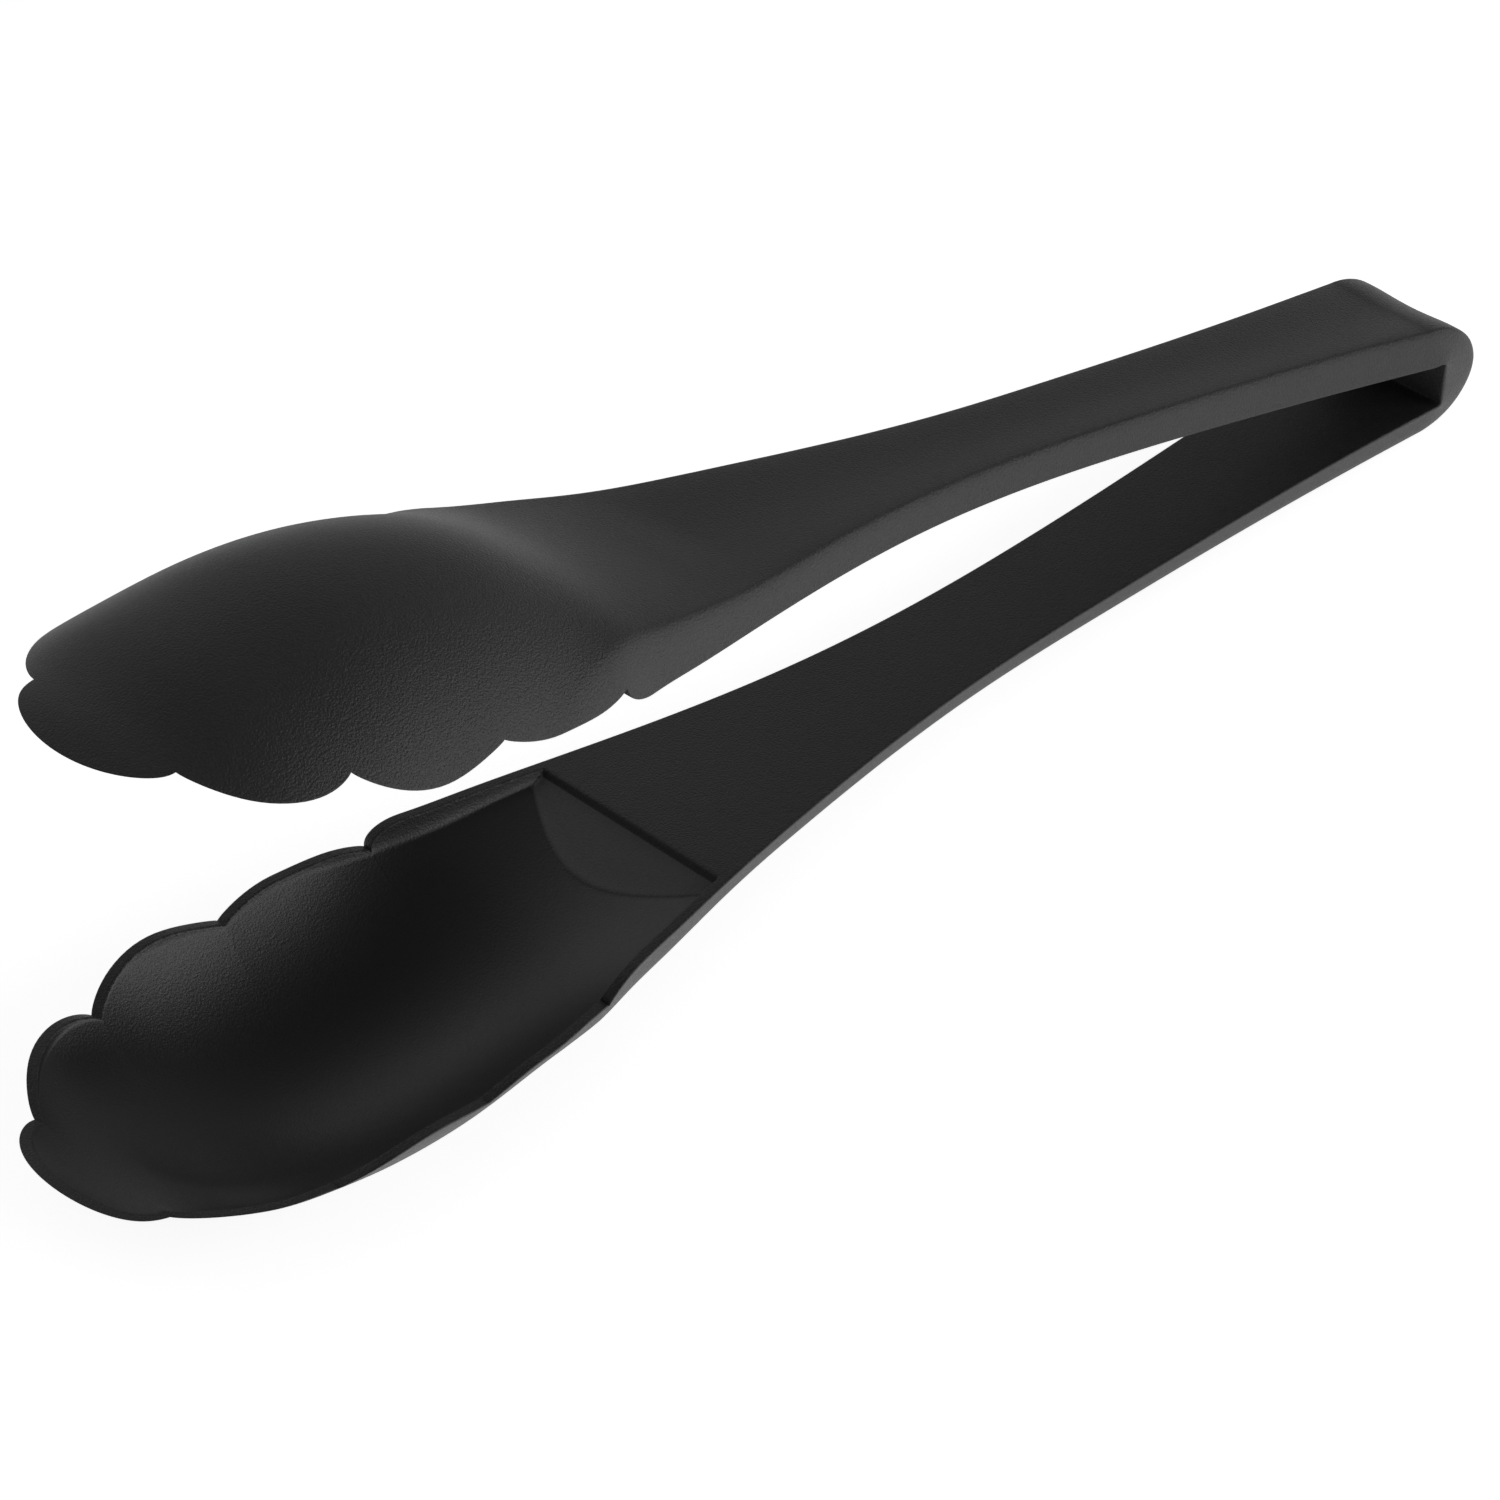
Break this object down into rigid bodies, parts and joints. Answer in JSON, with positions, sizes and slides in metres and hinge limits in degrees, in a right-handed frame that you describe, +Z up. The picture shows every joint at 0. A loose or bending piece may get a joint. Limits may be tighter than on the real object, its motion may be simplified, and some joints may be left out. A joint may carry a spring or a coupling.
{
  "type": "serving tongs",
  "caption": "Flexible matte black plastic serving tongs with scalloped spoon jaws on waisted arms that spring apart from a rounded bow.",
  "frame": {"origin": "on the surface that the tongs lie on, under the middle of their box, with the tongs resting on the belly of the lower jaw and the heel of the bow", "axes": "+X from the jaws towards the bow, +Y across the tongs, +Z up"},
  "size_m": [0.2314, 0.0502, 0.0777],
  "materials": {
    "black_plastic": "fine matte moulded grain, heat-resistant plastic"
  },
  "bodies": {
    "lower": {"lower_arm": "black_plastic", "lower_jaw": "black_plastic", "spring_bow": "black_plastic"},
    "upper": {"upper_arm": "black_plastic", "upper_jaw": "black_plastic"}
  },
  "joints": [
    {"name": "bow_flex", "type": "hinge", "parent": "lower", "child": "upper", "pos_m": [0.11176, 0, 0.00675], "axis": [0, -1, 0], "range_deg": [0, 13.2], "stiffness_Nm_per_rad": 2.8, "springref_deg": -0.57, "deforming": ["spring_bow"]}
  ]
}
